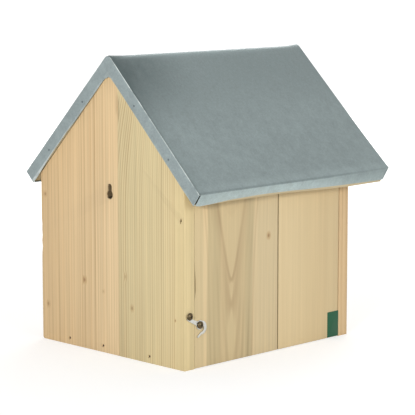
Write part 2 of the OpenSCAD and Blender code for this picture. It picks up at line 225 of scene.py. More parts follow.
def pine(name, lie, looks):
    wood = dict(pineDefaults)
    wood.update(looks)
    finish = pineFinish
    material, start = newMaterial(name)
    x, y, z = start.spot().split()
    facing = start.facing().split()
    half = slope.x
    across, through, along, ends = {
        "panel": (x, y, z, facing[2]),
        "side": (y, x, z, facing[2]),
        "floor": (y, z, x, facing[0]),
        "batten": (z, x, y, facing[1]),
        "wallSlope": ((x - z) * half, (x + z) * half, y, facing[1]),
        "doorSlope": ((-1 * x - z) * half, (z - x) * half, y, facing[1]),
    }[lie]
    shifted = along + wood["seed"]

    def pattern(kind):  # noise drawn out along the grain
        acrossScale, alongScale, *depth = pineNoise[kind]
        place = start.join(across * acrossScale, through * acrossScale, shifted * alongScale)
        return place.noise(1.0, *depth)

    # fibres, fine pores and broad clouds
    fibre, fine, streak, cloud = [pattern(kind) for kind in ("fibre", "fine", "streak", "cloud")]
    pore = pattern("pore").rise(0.2, 0.3) * wood["flecks"]

    # place in the rings
    slow = pattern("slow")
    sideways = across - wood["pith"][0]
    if wood["bend"]:
        foot, strength, near, reach = wood["bend"]
        raised = (along - foot).atLeast(0.0)
        nearness = (across - near).size().fall(0.0, reach)
        sideways = sideways + raised * raised * strength * nearness
    knotCore, knotRim = None, None
    for spot, height, radius, darkness in wood["knots"]:
        drop = (along - height) * 0.75
        reach = ((across - spot) * (across - spot) + drop * drop).root()
        sideways = sideways + reach.fall(0.0, radius * 3.2) * (radius * 0.9)
        core = reach.fall(radius * 0.3, radius * 1.15) * darkness
        rim = reach.fall(radius, radius * 2.4) * (darkness * 0.6)
        knotCore = core if knotCore is None else knotCore.atLeast(core)
        knotRim = rim if knotRim is None else knotRim.atLeast(rim)
    deep = through - wood["pith"][1] + along * wood["taper"]
    if wood["flare"]:
        foot, strength = wood["flare"]
        raised = (along - foot).atLeast(0.0)
        deep = deep + raised * raised * strength
    radius = (sideways * sideways + deep * deep).root() + slow * wood["sway"]
    count = radius / wood["ringWidth"]
    for left, right, more in wood["crowds"]:
        count = count + across.rise(left, right) * more
    broad = start.join(count * 0.31, wood["seed"] + 3.7, 0.0).noise(1.0, 1.0)
    count = count + broad * (2.2 * wood["uneven"])
    ring = count.floor()
    phase = count - ring
    late = phase ** wood["sharpness"] * phase.fall(0.9, 1.0)
    darkness = 0.3 + (ring + wood["seed"] * 7).dice() * 0.7
    line = late * darkness * wood["lines"]
    for left, right, gain in wood["bolder"]:
        group = across.within(left, right, (right - left) * 0.25)
        line = line * (1 + group * gain)
    line = line * (1 + pattern("gather") * 1.2)
    for spot, reach, strength in wood["bands"]:
        ease = (spot * finish["bandEase"]) ** 2
        away = (radius * radius - spot * spot) / ((sideways * sideways + ease).root() * 2)
        band = (away + fine * 0.0015).size().fall(0.0, reach)
        line = line.atLeast(band * (strength + cloud))
    line = line.atMost(1.0).atLeast(0.0)
    narrow = facing[0].size().rise(0.8, 0.95)
    if wood["sideLines"] < 1:
        line = line * (1 - narrow * (1 - wood["sideLines"]))

    colour = line.fade(tone(*wood["pale"]), tone(*wood["late"]))
    for left, leftSoft, right, rightSoft, lean, strength in wood["zones"]:
        tilted = across + along * lean + slow * 0.004
        zone = tilted.rise(left - leftSoft, left) * tilted.fall(right, right + rightSoft)
        colour = colour.tinted(finish["heartTint"], (zone * (strength + cloud * 0.5)).atLeast(0.0))
    left, right, strength = wood["warm"]
    colour = colour.tinted(finish["warmTint"], across.rise(left, right) * strength)
    if wood["warmTop"]:
        colour = colour.tinted(finish["warmTint"], along.rise(0.14, 0.26) * wood["warmTop"])
    for spot, reach, low, high, strength in wood["streaks"]:
        mark = (across - spot + fine * 0.003).size().fall(0.0, reach)
        mark = mark * along.within(low, high, (high - low) * 0.3)
        colour = (mark * strength).fade(colour, tone(*finish["knotCore"]))
    level = fibre * finish["fibre"] + fine * finish["fine"] + streak * finish["streak"]
    level = 1 + (level + cloud * finish["cloud"] - pore * finish["pore"]) * wood["texture"]
    if wood["foot"]:
        level = level - along.fall(0.0, finish["footHeight"]) * wood["foot"]
    if knotCore is not None:
        colour = knotRim.fade(colour, tone(*finish["knotRim"]))
        colour = (knotCore * (0.85 + fine)).fade(colour, tone(*finish["knotCore"]))
    endGrain = ends.size().rise(0.6, 0.9)
    level = level - endGrain * (wood["ends"] + line * 0.3)
    if wood["sideLines"] < 1:
        level = level + narrow * 0.02
    # painted shade on the edges that face a joint
    if wood["joints"]:
        level = level * (1 - facing[1].size().rise(0.8, 0.95) * wood["joints"])
    if lie == "panel":  # the sloping top: painted shade, as it lies in the dark under the roof
        level = level * (1 - ends.rise(0.5, 0.65) * ends.fall(0.8, 0.95) * finish["slopeShade"])
    # painted shade on the sides of the keyhole
    if wood["hollow"]:
        spot, height, reach, face = wood["hollow"]
        away = ((across - spot) * (across - spot) + (along - height) * (along - height) * 0.5).root()
        hole = away.fall(reach * 0.95, reach) * (through - face).size().rise(0.0006, 0.0022)
        level = level * (1 - hole * finish["holeShade"])
    colour = colour.dimmed(level)

    rough = finish["roughness"] + fibre * 0.16 - line * 0.08 + endGrain * 0.15
    height = fibre * 0.5 + fine * 0.6 + line * 0.6 - pore * 0.6 + streak * 0.3
    values = {"Base Color": colour, "Roughness": rough, "Specular IOR Level": 0.35}
    surface(start, values, height, finish["bump"])
    return material


# Metals and the label

zincLooks = {
    "base": (130, 142, 142), "dark": (74, 86, 86),  # the slopes, and their darker tone near the ridge and the back, partly stain and partly painted shade
    "gable": (146, 158, 159), "eave": (180, 196, 196), "rim": (228, 234, 230),  # the skirts, lighter than the slopes as painted light, and a painted highlight on the folds and hems
    "metallic": 0.5, "roughness": 0.52, "ridge": 0.3539,
    "mottle": 0.55, "grit": 0.4, "patches": 0.42, "drift": 0.14, "brushed": 0.1,
    # scale, detail and roughness of the mottle, grit, patches and drift
    "noise": ((330.0, 4.0, 0.65), (900.0, 3.0, 0.7), (80.0, 3.0, 0.55), (9.0, 2.0, 0.5)),
    "bump": 0.00014,
    # where stains and painted shade begin and end, down the slope from the ridge, and from the back fold
    "ridgeStainAndShade": (0.02, 0.13), "lightRidge": (0.005, 0.013), "eaveCreaseShade": (0.2085, 0.211),
    "backFold": (0.0, 0.04), "cornerStainAndShade": ((0.0, 0.125), (0.02, 0.14), 0.64),
    "backStainsAndShade": ((0.03, 0.16), (0.004, 0.25)),  # widths and strengths
    # where painted highlights begin and end: the skirts' hem and rim, the slopes, the eave's skirt
    "hemDepth": (0.0143, 0.0157), "hemHighlight": (0.062, 0.078), "rimDepth": (0.0004, 0.0016),
    "ridgeBright": (0.008, 0.018), "brightFrom": (0.02, 0.1), "brightTo": (0.2, 0.32),
    "lowBright": (0.196, 0.206), "slopeGain": 0.13, "eaveBright": (0.15, 0.27), "eaveGain": 0.27,
}


def galvanised(looks):
    material, start = newMaterial("galvanisedSheet")
    place, facing = start.spot(), start.facing().split()
    x, y, z = place.split()
    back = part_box("roof_sheet")[1].y
    down = (looks["ridge"] - z) * math.sqrt(2)  # along the slope from the ridge
    deep = (looks["ridge"] - z - x.size()) * math.sqrt(0.5)  # below the slopes
    corner = back - y
    onSlopes = facing[2].rise(0.2, 0.5)
    onEaves = facing[2].fall(-0.6, -0.2)
    onGables = facing[1].size().rise(0.6, 0.9)
    mottle, grit, patches, drift = [place.noise(*settings) for settings in looks["noise"]]
    brushed = start.join(x * 90, y * 900, z * 90).noise(1.0, 2.0)
    # stains and painted shade under the ridge and along the back fold, and a painted shade line above the
    # eave fold
    stain = down.fall(*looks["ridgeStainAndShade"]) * (0.24 + patches * 0.5)
    fromBack, fromRidge, strength = looks["cornerStainAndShade"]
    stain = stain + corner.fall(*fromBack) * down.fall(*fromRidge) * strength
    for width, strength in looks["backStainsAndShade"]:
        stain = stain + corner.fall(0.0, width) * strength
    # painted shade in the crease just above the eave fold
    stain = stain + down.rise(*looks["eaveCreaseShade"]) * 0.3
    stain = stain * down.rise(*looks["lightRidge"]).atLeast(corner.fall(*looks["backFold"]))
    colour = (stain.atMost(1.0).atLeast(0.0) * onSlopes).fade(tone(*looks["base"]), tone(*looks["dark"]))
    # the skirts are given lighter tones than the slopes, as painted light
    colour = onGables.fade(colour, tone(*looks["gable"]))
    colour = onEaves.fade(colour, tone(*looks["eave"]))
    # painted highlights at the top and the bottom of the skirts
    hem = deep.rise(*looks["hemDepth"]) * (0.35 + patches)
    hem = hem * (0.3 + x.rise(*looks["hemHighlight"]) * 0.8)  # painted highlight, brightest at the lower end over the wall
    rim = onGables * deep.fall(*looks["rimDepth"]) * (0.5 + patches * 3)
    # a painted highlight along the folds and the hems
    worn = rim.atLeast(hem * (1 - onSlopes)).atMost(1.0).atLeast(0.0)
    colour = worn.fade(colour, tone(*looks["rim"]))
    level = 1 + mottle * looks["mottle"] + patches * looks["patches"] + grit * looks["grit"]
    level = level + drift * looks["drift"] + brushed * looks["brushed"]
    # painted light: a lighter band below the ridge, a lighter strip above the eave fold, and eave skirts
    # lighter towards the front
    paintedLight = corner.rise(*looks["brightFrom"]) * corner.fall(*looks["brightTo"])
    paintedLight = down.fall(*looks["ridgeBright"]) * paintedLight + down.rise(*looks["lowBright"])
    level = level + paintedLight * looks["slopeGain"] * onSlopes
    level = level + corner.rise(*looks["eaveBright"]) * onEaves * looks["eaveGain"]
    colour = colour.dimmed(level)
    rough = looks["roughness"] + mottle * 0.25 + patches * 0.2
    values = {"Base Color": colour, "Roughness": rough, "Metallic": looks["metallic"]}
    height = mottle * 0.4 + patches * 0.6 + brushed * 0.2 + grit * 0.2
    surface(start, values, height, looks["bump"])
    return material


def steel(name, base, metallic, roughness, wear, rust=0.0):
    material, start = newMaterial(name)
    place = start.spot()
    blotch = place.noise(420.0, 3.0, 0.6)
    scratch = place.noise(2600.0, 2.0, 0.7)
    stain = (blotch * 2.0 + 0.2).rise(0.0, 0.9) * rust
    colour = stain.fade(tone(*base), tone(112, 82, 58)).dimmed(1 + blotch * wear + scratch * wear * 0.4)
    rough = roughness + blotch * 0.2 + scratch * 0.12
    values = {"Base Color": colour, "Roughness": rough, "Metallic": metallic}
    surface(start, values, blotch * 0.5 + scratch * 0.3, 0.00004)
    return material


def labelFoil():
    material, start = newMaterial("greenLabel")
    place = start.spot()
    cloud = place.noise(180.0, 3.0, 0.6)
    fleck = place.noise(2400.0, 2.0, 0.6)
    colour = (0.5 + cloud).fade(tone(26, 80, 52), tone(38, 94, 66)).dimmed(1 + fleck * 0.12)
    rough = 0.5 + cloud * 0.2 + fleck * 0.1
    values = {"Base Color": colour, "Roughness": rough, "Specular IOR Level": 0.3}
    surface(start, values, fleck * 0.5 + cloud, 0.00003)
    return material


# Modelling helpers


def choose(kind, test):
    # selects the open mesh's edges or faces that pass a test
    mesh = bmesh.from_edit_mesh(bpy.context.object.data)
    bpy.ops.mesh.select_mode(type=kind)
    bpy.ops.mesh.select_all(action="DESELECT")
    for element in {"EDGE": mesh.edges, "FACE": mesh.faces}[kind]:
        if test(element):
            element.select_set(True)
    bmesh.update_edit_mesh(bpy.context.object.data)


def openMesh(piece=None):  # of this piece, or of the one just made
    if piece:
        only(piece)
    bpy.ops.object.mode_set(mode="EDIT")


def closeMesh():
    bpy.ops.object.mode_set(mode="OBJECT")


def bevel(offset, segments, clamp=False):
    bpy.ops.mesh.bevel(offset=offset, segments=segments, affect="EDGES", clamp_overlap=clamp)


def bisect(place, facing, **options):  # divides every face along a plane
    choose("FACE", lambda face: True)
    bpy.ops.mesh.bisect(plane_co=place, plane_no=facing, **options)


def push(step, growth=1.0):  # extrudes what is selected, and sizes the new end
    bpy.ops.mesh.extrude_region_move(TRANSFORM_OT_translate={"value": step})
    if growth != 1.0:
        bpy.ops.transform.resize(value=(growth, growth, 1))


def middle(edge):
    return (edge.verts[0].co + edge.verts[1].co) / 2


def runs(edge, direction):  # does the edge lie along this direction
    line = (edge.verts[1].co - edge.verts[0].co).normalized()
    return abs(line.dot(Vector(direction).normalized())) > 0.999


def isSharp(edge, angle=0.5):
    return len(edge.link_faces) == 2 and edge.calc_face_angle(0.0) > angle


def added(name):  # the object just added, put at the origin and given its name
    piece = bpy.context.object
    bpy.ops.object.transform_apply(location=True, rotation=True, scale=True)
    piece.name = piece.data.name = name
    return piece


def cube(name, place, size, turn=0.0):  # turned about the y axis
    bpy.ops.mesh.primitive_cube_add(size=1, location=place, scale=size, rotation=(0, turn, 0))
    return added(name)


def block(name, low, high):
    low, high = Vector(low), Vector(high)
    return cube(name, (low + high) / 2, high - low)


def rod(name, foot, top, radius, sides=24, tip=None):
    # a round bar between two points, or a cone with its own radius at the top
    foot, top = Vector(foot), Vector(top)
    turn = (top - foot).to_track_quat("Z", "Y").to_euler()
    bpy.ops.mesh.primitive_cone_add(
        vertices=sides, radius1=radius, radius2=radius if tip is None else tip,
        depth=(top - foot).length, location=(foot + top) / 2, rotation=turn,
    )
    return added(name)


def only(piece):
    bpy.ops.object.select_all(action="DESELECT")
    bpy.context.view_layer.objects.active = piece
    piece.select_set(True)


def joined(pieces, name):
    only(pieces[0])
    for piece in pieces:
        piece.select_set(True)
    if len(pieces) > 1:
        bpy.ops.object.join()
    piece = bpy.context.object
    piece.name = piece.data.name = name
    return piece


def cut(piece, cutters):
    # takes the cutters' shapes out of a piece and deletes them
    tool = joined(cutters, "cutter")
    only(piece)
    modifier = piece.modifiers.new("cut", "BOOLEAN")
    modifier.operation, modifier.solver, modifier.object = "DIFFERENCE", "EXACT", tool
    modifier.use_self = True
    bpy.ops.object.modifier_apply(modifier=modifier.name)
    bpy.data.objects.remove(tool)


def twin(piece, name):
    copy = piece.copy()
    copy.data = piece.data.copy()
    copy.name = copy.data.name = name
    bpy.context.scene.collection.objects.link(copy)
    return copy


def dress(piece, material, body, slot, *nodes, smooth=30):
    piece.data.materials.clear()
    piece.data.materials.append(material)
    only(piece)
    bpy.ops.object.shade_smooth_by_angle(angle=math.radians(smooth))
    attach(piece, body)
    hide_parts(*nodes)


def between(stops, place):  # reads a value off a line through stops
    for (left, low), (right, high) in zip(stops, stops[1:]):
        if place <= right:
            return low + (high - low) * max(0.0, place - left) / (right - left)
    return stops[-1][1]


def closeness(distance, reach):  # 1 at no distance, 0 from its reach on
    return max(0.0, 1 - distance / reach)


def beyond(value, start, reach):  # 0 up to the start, 1 at its reach from there
    return max(0.0, (value - start) / reach)


def same(one, other):
    return abs(one - other) < 1e-5


def displace(piece, group, direction, strength, level, texture=None):
    modifier = piece.modifiers.new(group, "DISPLACE")
    if texture:
        modifier.texture, modifier.texture_coords = texture, "LOCAL"
    modifier.vertex_group, modifier.direction = group, direction
    modifier.strength, modifier.mid_level = strength, level
    bpy.ops.object.modifier_apply(modifier=modifier.name)


def nudge(piece, direction, share):
    # moves the points of a piece by their share, 0 to 1, of a step
    group = piece.vertex_groups.new(name="share")
    for point in piece.data.vertices:
        amount = share(point.co)
        if amount > 0:
            group.add([point.index], min(1.0, amount), "REPLACE")
    only(piece)
    for axis, step in zip("XYZ", direction):
        if abs(step) > 1e-7:
            displace(piece, group.name, axis, step, 0.0)
    piece.vertex_groups.clear()


def stage(say):
    print("scene:", say)


# Boards

slope = Vector((math.sqrt(0.5), 0, math.sqrt(0.5)))
grain = {"panel": (0, 0, 1), "side": (0, 0, 1), "floor": (1, 0, 0), "batten": (0, 1, 0), "roof": (0, 1, 0)}
arris = {"radius": 0.0005, "segments": 2, "step": 0.012}
ridgeLine = 0.353027  # height at which the upper faces of the roof boards meet
nailDent = {"radius": 0.0022, "depth": 0.0007}
topGap = {1: 0.013, -1: 0.0}  # how much steeper than the roof a panel is cut, over the wall and over the door
buttGap = 0.00003  # half of what is left between two boards of one wall
cutterSpare = 0.002  # how far a cutter stands out of the wood


def roundEdges(piece, lie):
    # cuts the board across its grain, then rounds its sharp edges
    openMesh(piece)
    choose("EDGE", lambda edge: runs(edge, grain[lie]) and edge.calc_length() > 0.05)
    longest = max(piece.dimensions)
    bpy.ops.mesh.subdivide(number_cuts=max(1, round(longest / arris["step"])))
    choose("EDGE", isSharp)
    bevel(arris["radius"], arris["segments"], True)
    closeMesh()


def dents(places, outward):
    # shallow holes round the nail heads
    inwards, outwards = Vector(outward) * -nailDent["depth"], Vector(outward) * cutterSpare
    radius = nailDent["radius"]
    return [rod("dent", inwards + Vector(place), outwards + Vector(place), radius, 16) for place in places]


stage("camera, lights and helpers ready")
placeCamera(viewpoint)
hangLamps(lamps)


def butted(node, neighbour, axis):
    # a board's box, widened until the board almost touches its neighbour
    low, high = [Vector(corner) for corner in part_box(node)]
    if neighbour:
        otherLow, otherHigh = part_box(neighbour)
        if low[axis] > otherLow[axis]:
            low[axis] = (low[axis] + otherHigh[axis]) / 2 + buttGap
        else:
            high[axis] = (high[axis] + otherLow[axis]) / 2 - buttGap
    return low, high


def board(
    name, node, lie, looks, places=(), outward=(1, 0, 0), cutters=(), neighbour=None, ends=(0, 0),
    roofSides=(), softCorner=0.0, body="house", slot="pine_boards",
):
    # a board from its node's box to its nail dents; ends says how much it is longer at the front and back
    low, high = butted(node, neighbour, 0 if lie == "panel" else 1)
    piece = block(name, low - Vector((0, ends[0], 0)), high + Vector((0, ends[1], 0)))
    openMesh()
    if softCorner:  # a lower corner worn round
        foot = Vector((high.x, (low.y + high.y) / 2, low.z))
        choose("EDGE", lambda edge: runs(edge, (0, 1, 0)) and (middle(edge) - foot).length < 0.001)
        bevel(softCorner, 4)
    for side in roofSides:  # cut along the roof boards' lower faces
        peak = (0, 0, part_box("back_board_wide")[1].z)
        bisect(peak, (side * (slope.x + topGap[side]), 0, slope.z), use_fill=True, clear_outer=True)
    closeMesh()
    roundEdges(piece, lie)
    if cutters:
        cut(piece, cutters)
    if places:
        cut(piece, dents(places, outward))
    dress(piece, pine(name, lie, looks), body, slot, node)
    return piece


nailPlaces = {
    "backPanel": [(0.074, 0.14, 0.008), (0.0138, 0.14, 0.008)],
    "backWall": [(0.1135, 0.14, 0.0445), (0.1165, 0.14, 0.179)],  # driven in below the wood's face
    "backNarrow": [(-0.066, 0.14, 0.008)],
    "wall": [(0.124, 0.055, 0.008), (0.124, -0.07, 0.008)],
}
pivotPlace = (-0.116, 0.14, 0.171)


def mirrored(places):  # from the back panel to the front panel
    return [(x, -y, z) for x, y, z in places]


keyhole = {"middle": 0.1895, "radius": 0.0054, "slotRadius": 0.0036, "slotTop": 0.1986}
entrance = {"height": 0.185, "radius": 0.035}


def keyholeCutters():
    low, high, half = 0.122, 0.142, keyhole["slotRadius"]
    hole, end = [
        rod(name, (0, low, height), (0, high, height), radius, sides)
        for name, height, radius, sides in (
            ("hole", keyhole["middle"], keyhole["radius"], 48), ("end", keyhole["slotTop"], half, 32),
        )
    ]
    return [hole, end, block("slot", (-half, low, keyhole["middle"]), (half, high, keyhole["slotTop"]))]


def entranceCutter():
    height = entrance["height"]
    return [rod("hole", (0, -0.15, height), (0, -0.11, height), entrance["radius"], 96)]


backWide = {
    "pale": (225, 199, 157), "pith": (0.21, 0.05), "ringWidth": 0.0042, "lines": 0.62, "uneven": 0.9,
    "texture": 0.85,
    "crowds": ((0.022, 0.052, 2), (0.084, 0.108, 1)),
    "bolder": ((0.082, 0.094, 1.0), (0.037, 0.052, 1.0), (0.019, 0.033, 0.7), (0.0, 0.015, 0.3)),
    "knots": ((0.0459, 0.0828, 0.0022, 0.75), (0.0125, 0.0733, 0.0015, 0.3), (0.1166, 0.179, 0.0019, 0.55),
              (0.1134, 0.0445, 0.0021, 0.55)),
    "streaks": ((-0.0128, 0.002, 0.285, 0.305, 0.3),),
    "warm": (-0.01, 0.13, 0.95), "warmTop": 0.45, "foot": 0.035, "seed": 1.3,
    "hollow": (0.0, 0.1925, 0.0095, 0.14),
}
backNarrow = {
    "pale": (221, 204, 159), "pith": (0.3, -0.1), "ringWidth": 0.0031, "texture": 0.8, "lines": 0.8,
    "uneven": 0.45,
    "bend": (0.17, 1.1, -0.015, 0.10),
    "bolder": ((-0.13, -0.109, -0.75), (-0.11, -0.086, 0.8), (-0.055, -0.016, 0.5)),
    "knots": ((-0.0371, 0.0602, 0.002, 0.55), (-0.1091, 0.0564, 0.0009, 0.8), (-0.026, 0.096, 0.002, 0.3)),
    "streaks": ((-0.0154, 0.0022, 0.279, 0.302, 0.5),), "foot": 0.03, "warm": (-0.095, -0.122, 0.6),
    "sideLines": 0.25, "seed": 4.1,
}
frontWide = {
    "pith": (0.06, -0.215), "taper": 0.02, "ringWidth": 0.0042, "lines": 0.7,
    "knots": ((0.078, 0.105, 0.006, 0.9), (0.035, 0.285, 0.0035, 0.8)), "warm": (-0.02, 0.12, 0.6),
    "seed": 7.7,
}
frontNarrow = {
    "pale": (213, 188, 149), "pith": (-0.19, -0.10), "ringWidth": 0.0035, "lines": 0.6,
    "knots": ((-0.052, 0.07, 0.0025, 0.7),), "warm": (-0.11, -0.125, 0.9), "seed": 9.2,
}
pivotMark = {"radius": 0.0013, "stretch": 2.3, "lean": 14.0, "depth": 0.0035, "aside": 0.0025}


def pivotCutter(y):
    # the slanted hole in which a pivot nail's head lies
    x, side = pivotPlace[0], math.copysign(1, y)
    foot, top = (0, -side * pivotMark["depth"], 0), (0, side * cutterSpare, 0)
    cutter = rod("mark", foot, top, pivotMark["radius"])
    cutter.data.transform(
        Matrix.Translation((x - pivotMark["aside"] * side, y, pivotPlace[2]))
        @ Matrix.Rotation(math.radians(-pivotMark["lean"]) * side, 4, "Y")
        @ Matrix.Diagonal((1, 1, pivotMark["stretch"], 1))
    )
    return cutter


backBoard = board(
    "backBoardWide", "back_board_wide", "panel", backWide, nailPlaces["backPanel"], (0, 1, 0),
    keyholeCutters(), "back_board_narrow", roofSides=(1, -1), softCorner=0.003,
)
worn = {"low": 0.107, "high": 0.145, "depth": 0.0013}  # a splintered stretch of the outer edge


def wornShare(point):
    inside = point.x > 0.12 and worn["low"] - 0.006 < point.z < worn["high"]
    return (0.6 + 0.4 * math.sin(point.z * 400)) * inside


nudge(backBoard, (-worn["depth"], 0, 0), wornShare)
backBoard = board(
    "backBoardNarrow", "back_board_narrow", "panel", backNarrow, nailPlaces["backNarrow"], (0, 1, 0),
    [pivotCutter(pivotPlace[1])], "back_board_wide", roofSides=(-1,),
)
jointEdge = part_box("back_board_narrow")[1].x


def jointShare(point):  # the joint between the two boards opens towards its foot
    return (point.x > jointEdge - 0.001) * (1 - between(((0, 0), (0.12, 1)), point.z))


nudge(backBoard, (-0.0004, 0, 0), jointShare)
board(
    "frontBoardWide", "front_board_wide", "panel", frontWide, mirrored(nailPlaces["backPanel"]), (0, -1, 0),
    entranceCutter(), "front_board_narrow", roofSides=(1, -1),
)
board(
    "frontBoardNarrow", "front_board_narrow", "panel", frontNarrow, mirrored(nailPlaces["backNarrow"]),
    (0, -1, 0), entranceCutter() + [pivotCutter(-pivotPlace[1])], "front_board_wide", roofSides=(-1,),
)
stage("front and back panels")


bore = {"radius": 0.00138, "depth": 0.052}


def pivotBore(side):
    # the way of a pivot nail through the end of the door
    x, y, z = pivotPlace
    return [rod("bore", (x, side * y, z), (x, side * (y - bore["depth"]), z), bore["radius"])]


doorRear = {
    "pale": (219, 199, 158), "late": (160, 128, 96), "warm": (0.015, 0.045, 0.55),
    "pith": (0.0645, -0.06595), "taper": 0.0205, "flare": (0.095, 0.383), "ringWidth": 0.0040,
    "lines": 0.16, "sharpness": 2.5,
    "bands": ((0.0561, 0.005, 0.5), (0.0567, 0.010, 0.33), (0.0584, 0.006, 0.14), (0.0605, 0.004, 0.16),
              (0.0640, 0.003, 0.2), (0.0672, 0.0024, 0.28)),
    "zones": ((0.112, 0.004, 0.2, 0.01, 0.0, 0.45), (0.033, 0.004, 0.104, 0.004, 0.02, 0.46),
              (0.088, 0.006, 0.104, 0.003, 0.02, 0.45), (0.032, 0.003, 0.040, 0.005, 0.01, 0.35)),
    "knots": ((0.0021, 0.1399, 0.0021, 0.8),), "seed": 2.9, "sway": 0.0004, "uneven": 0.4,
    "texture": 0.55, "joints": 0.3,
}
doorFront = {
    "pale": (217, 196, 154), "pith": (-0.06, -0.30), "ringWidth": 0.006, "lines": 0.12,
    "warm": (-0.03, -0.09, 0.4), "seed": 5.5, "texture": 0.4, "joints": 0.3,
}
wallRear = {
    "pith": (0.05, 0.03), "taper": 0.02, "ringWidth": 0.004, "knots": ((0.09, 0.13, 0.005, 0.9),),
    "seed": 11.0,
}
wallFront = {"pith": (-0.2, 0.15), "ringWidth": 0.0034, "knots": ((-0.07, 0.06, 0.003, 0.8),), "seed": 12.4}
floorRear = {"pith": (0.04, -0.05), "taper": 0.015, "ringWidth": 0.004, "seed": 13.1}
floorFront = {"pith": (-0.2, 0.02), "ringWidth": 0.0032, "seed": 14.6}
battenLooks = {"pith": (0.1, -0.2), "ringWidth": 0.003, "lines": 0.6}
# how much longer than their solids the door's boards are
doorGaps = {"back": 0.0002, "joint": -0.0006, "front": -0.0009}
splinter = {"stops": ((0.083, 0.0), (0.0905, 1.0), (0.109, 0.8), (0.118, 0.0)), "depth": 0.0018}


def splinterShare(point):  # a splinter is missing along the rear board's edge
    inside = point.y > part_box("door_board_rear")[1].y - 0.0012
    return between(splinter["stops"], point.z) * inside * (point.z > splinter["stops"][0][0])


rearBoard = board(
    "doorBoardRear", "door_board_rear", "side", doorRear, cutters=pivotBore(1),
    ends=(doorGaps["joint"], doorGaps["back"]), body="door", slot="door_boards",
)
nudge(rearBoard, (0, -splinter["depth"], 0), splinterShare)
board(
    "doorBoardFront", "door_board_front", "side", doorFront, cutters=pivotBore(-1),
    ends=(doorGaps["front"], doorGaps["joint"]), body="door", slot="door_boards",
)
for name, node, other, lie, looks, places in (
    ("wallBoardRear", "wall_board_rear", "wall_board_front", "side", wallRear, nailPlaces["wall"][:1]),
    ("wallBoardFront", "wall_board_front", "wall_board_rear", "side", wallFront, nailPlaces["wall"][1:]),
    ("floorBoardRear", "floor_board_rear", "floor_board_front", "floor", floorRear, ()),
    ("floorBoardFront", "floor_board_front", "floor_board_rear", "floor", floorFront, ()),
):
    board(name, node, lie, looks, places, neighbour=other)
battenNails = [(-0.096, y, z) for y in (0.098, 0.024, -0.04, -0.098) for z in (0.045, 0.136)]
for name, node, seed, nails in (
    ("battenLower", "door_batten_lower", 17.0, battenNails[::2]),
    ("battenUpper", "door_batten_upper", 19.0, battenNails[1::2]),
):
    board(name, node, "batten", dict(battenLooks, seed=seed), nails, body="door")
stage("door, wall, floor and battens")


# Roof boards lie under the sheet; the upper one over the wall laps the other

roofBoards = {
    "thick": 0.016, "joint": 0.1385, "end": 0.21093, "bend": 0.0092,
    # the roof boards' tones are greyer and darker than the walls': partly weathering, partly painted shade
    # below the sheet's skirts
    "pale": (204, 188, 152), "late": (168, 144, 108),
    "front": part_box("roof_board_lower_door_side")[0].y, "back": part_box("roof_board_lower_door_side")[1].y,
    "pocket": 0.016, "pocketDepth": 0.0143,  # hollow in the lower back corners, behind the slits of the sheet
    "air": 0.0006,  # left under the sheet for its unevenness
    "crossLines": (0.006, 0.03, 0.06, 0.1, 0.15, 0.2, 0.22, 0.24, 0.26, 0.275, 0.29, 0.3, 0.31, 0.32),
    "longLines": (0.15, 0.165, 0.18, 0.195), "depthLines": (0.004, 0.008, 0.012),
    "setBack": 0.0009, "setBackReach": 0.03, "setBackRun": (0.14, 0.05),  # of its front corner over the door
}
roofSkew = {  # the roof isn't quite square
    "ridgeShort": 0.0043,  # how much shorter the front overhang is at the ridge
    # distances from the back, and how far the eave over the door leans out
    "lean": (
        (0.0, 0.0028), (0.006, 0.0047), (0.03, 0.004), (0.06, 0.0034), (0.15, 0.0034), (0.26, 0.0074),
        (0.33, 0.008),
    ),
    "leanDepth": 0.0166,
    # how far the eave's front corner runs back at its lower edge
    "tuck": 0.0055, "tuckReach": 0.045, "tuckRun": (0.15, 0.06),
    "full": 0.212, "eave": 0.2085,  # down the slope: all of it, and where the eave's edge begins
}


def slopeAxes(side):  # down the slope, and out of it
    return Vector((side * slope.x, 0, -slope.z)), Vector((side * slope.x, 0, slope.z))


def onSlope(side, run, y, height):
    # a place by its distance down a slope from the boards' ridge line
    along, out = slopeAxes(side)
    return Vector((0, y, ridgeLine)) + along * run + out * height


def underSheet(point):  # which slope a point is on, how far down it is and how deep below the sheet
    side = 1 if point.x > 0 else -1
    span = sheetShape["ridge"] - point.z
    return side, (side * point.x + span) * slope.x, (span - side * point.x) * slope.x


def liftShare(point):  # how much the sheet's front corner over the door stands up
    side, run, deep = underSheet(point)
    shape = sheetShape
    along = max(0.0, (run - shape["liftRun"]) / (roofSkew["full"] - shape["liftRun"]))
    start = shape["back"] - shape["liftFrom"]
    ahead = max(0.0, (start - point.y) / (start - shape["front"]))
    return (along * ahead) ** 1.5 if side < 0 else 0


def skewRoof(piece):
    back, front = roofBoards["back"], roofBoards["front"]
    length = back - front
    widest = max(lean for place, lean in roofSkew["lean"])

    def ridgeShare(point):
        run = max(0.0, underSheet(point)[1])
        return (1 - run / roofSkew["full"]) * (back - point.y) / length

    def eaveShare(point):
        side, run, deep = underSheet(point)
        lean = between(roofSkew["lean"], back - point.y) / widest
        return deep / roofSkew["leanDepth"] * lean * (run > roofSkew["eave"]) if side < 0 else 0

    def tuckShare(point):
        side, run, deep = underSheet(point)
        near = closeness(point.y - front, roofSkew["tuckReach"]) * beyond(run, *roofSkew["tuckRun"])
        return deep / roofSkew["leanDepth"] * near if side < 0 else 0

    nudge(piece, (0, roofSkew["ridgeShort"], 0), ridgeShare)
    nudge(piece, (0, roofSkew["tuck"], 0), tuckShare)
    nudge(piece, (-widest * slope.x, 0, -widest * slope.z), eaveShare)


def cornerPocket(side, end):
    size, depth, spare = roofBoards["pocket"], roofBoards["pocketDepth"], cutterSpare
    half = (size - spare) / 2
    place = onSlope(side, end - half, roofBoards["back"] - half, (spare - depth) / 2)
    return cube("pocket", place, (size + spare, size + spare, depth + spare), side * math.pi / 4)


